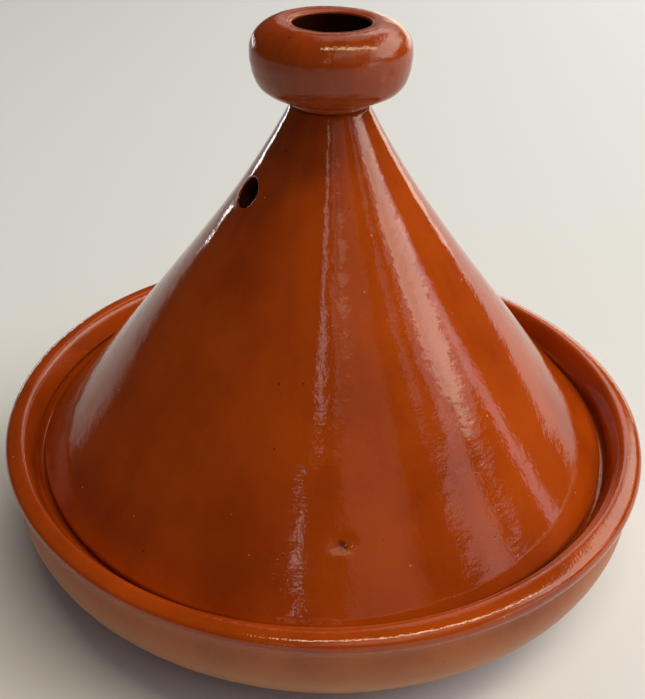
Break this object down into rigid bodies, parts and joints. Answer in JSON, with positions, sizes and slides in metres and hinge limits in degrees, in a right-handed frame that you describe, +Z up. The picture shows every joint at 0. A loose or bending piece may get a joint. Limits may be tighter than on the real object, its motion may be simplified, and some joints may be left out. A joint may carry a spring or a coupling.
{
  "type": "tagine pot",
  "caption": "Earthenware tagine: shallow round dish with a rolled rim, tall conical lid resting inside the rim, hollow cup knob and a steam hole, in glossy amber-brown glaze.",
  "frame": {"origin": "centre of the dish's flat underside, on the surface the pot stands on", "axes": "+Z up along the axis that the pot was thrown on; the steam hole in the lid faces -X"},
  "size_m": [0.3112, 0.3112, 0.2464],
  "materials": {
    "dish_glaze": "satin to glossy transparent amber glaze over red earthenware, unglazed underside",
    "lid_glaze": "glossy transparent amber glaze over red earthenware, orange-peel surface, unglazed inside",
    "knob_glaze": "glossy transparent amber glaze over red earthenware"
  },
  "bodies": {
    "dish": {"base_dish": "dish_glaze"},
    "lid": {"lid_cone": "lid_glaze", "lid_knob": "knob_glaze"}
  },
  "joints": [
    {"name": "lid_lift", "type": "slide", "parent": "dish", "child": "lid", "axis": [0, 0, 1], "range_m": [0, 0.12]}
  ]
}
